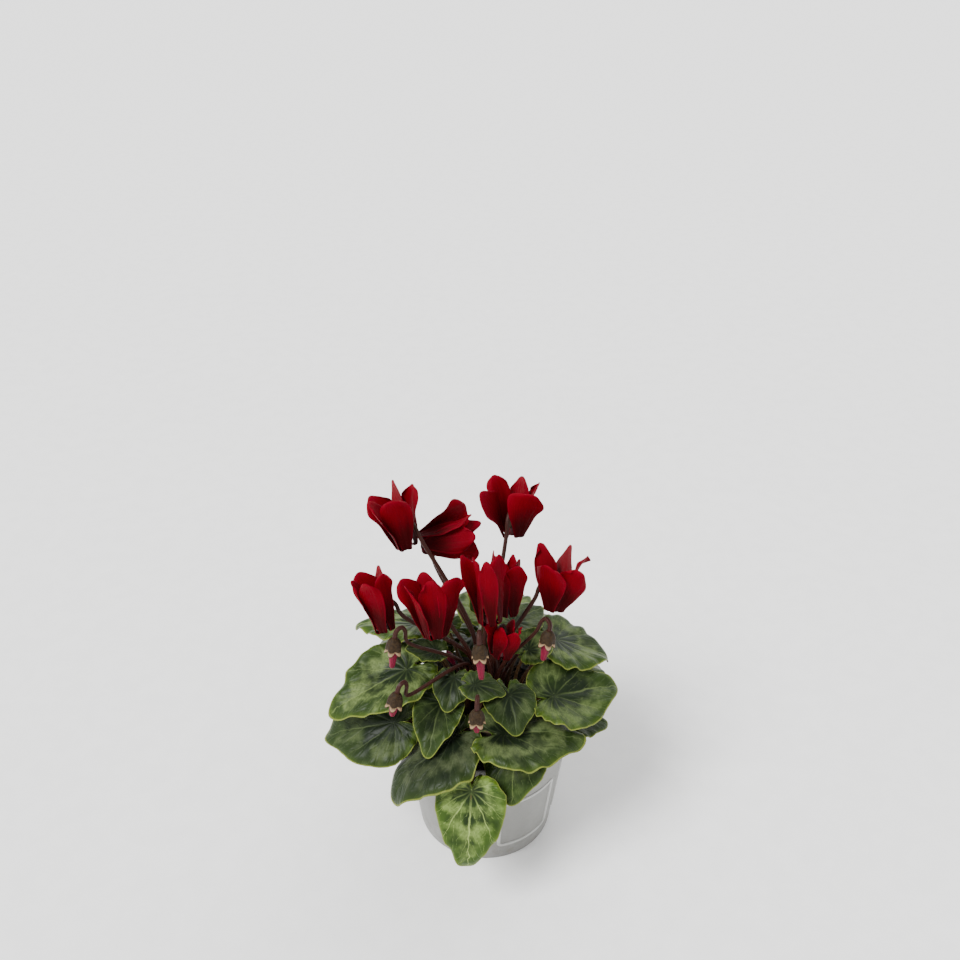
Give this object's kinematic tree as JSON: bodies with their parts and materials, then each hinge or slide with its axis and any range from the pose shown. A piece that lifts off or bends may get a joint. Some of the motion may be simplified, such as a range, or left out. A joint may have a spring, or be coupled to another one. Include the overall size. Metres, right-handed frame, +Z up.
{
  "type": "potted cyclamen",
  "caption": "Potted cyclamen in flower: swept-back crimson blooms and nodding buds over a mound of marbled heart-shaped leaves in a plain round grower's pot.",
  "frame": {"origin": "middle of the pot's base, on the surface it stands on", "axes": "+Z up through the middle of the pot; -Y is the side that the plant is looked at from"},
  "size_m": [0.173, 0.1736, 0.2236],
  "materials": {
    "pot": "satin warm grey plastic",
    "soil": "loose dark potting soil",
    "corm": "rough brown cork-like skin",
    "leaf": "satin dark green leaf with silvery marbling",
    "bloom": "velvety deep crimson petal",
    "stalk": "satin red-brown stalk",
    "bud": "satin pink petals still rolled"
  },
  "bodies": {
    "root": {"bloom_1": "bloom", "bloom_2": "bloom", "bloom_3": "bloom", "bloom_4": "bloom", "bloom_5": "bloom", "bloom_6": "bloom", "bloom_7": "bloom", "bloom_8": "bloom", "bloom_9": "bloom", "bud_1": "bud", "bud_2": "bud", "bud_3": "bud", "bud_4": "bud", "bud_5": "bud", "bud_stalk_1": "stalk", "bud_stalk_2": "stalk", "bud_stalk_3": "stalk", "bud_stalk_4": "stalk", "bud_stalk_5": "stalk", "corm": "corm", "leaf_01": "leaf", "leaf_02": "leaf", "leaf_03": "leaf", "leaf_04": "leaf", "leaf_05": "leaf", "leaf_06": "leaf", "leaf_07": "leaf", "leaf_08": "leaf", "leaf_09": "leaf", "leaf_10": "leaf", "leaf_11": "leaf", "leaf_12": "leaf", "leaf_13": "leaf", "leaf_14": "leaf", "leaf_15": "leaf", "leaf_16": "leaf", "leaf_17": "leaf", "leaf_18": "leaf", "leaf_19": "leaf", "leaf_20": "leaf", "leaf_21": "leaf", "leaf_22": "leaf", "leaf_23": "leaf", "leaf_24": "leaf", "leaf_25": "leaf", "leaf_26": "leaf", "leaf_27": "leaf", "pot": "pot", "soil": "soil", "stalk_1": "stalk", "stalk_2": "stalk", "stalk_3": "stalk", "stalk_4": "stalk", "stalk_5": "stalk", "stalk_6": "stalk", "stalk_7": "stalk", "stalk_8": "stalk", "stalk_9": "stalk", "young_bud_1": "stalk", "young_bud_2": "stalk"}
  },
  "joints": []
}
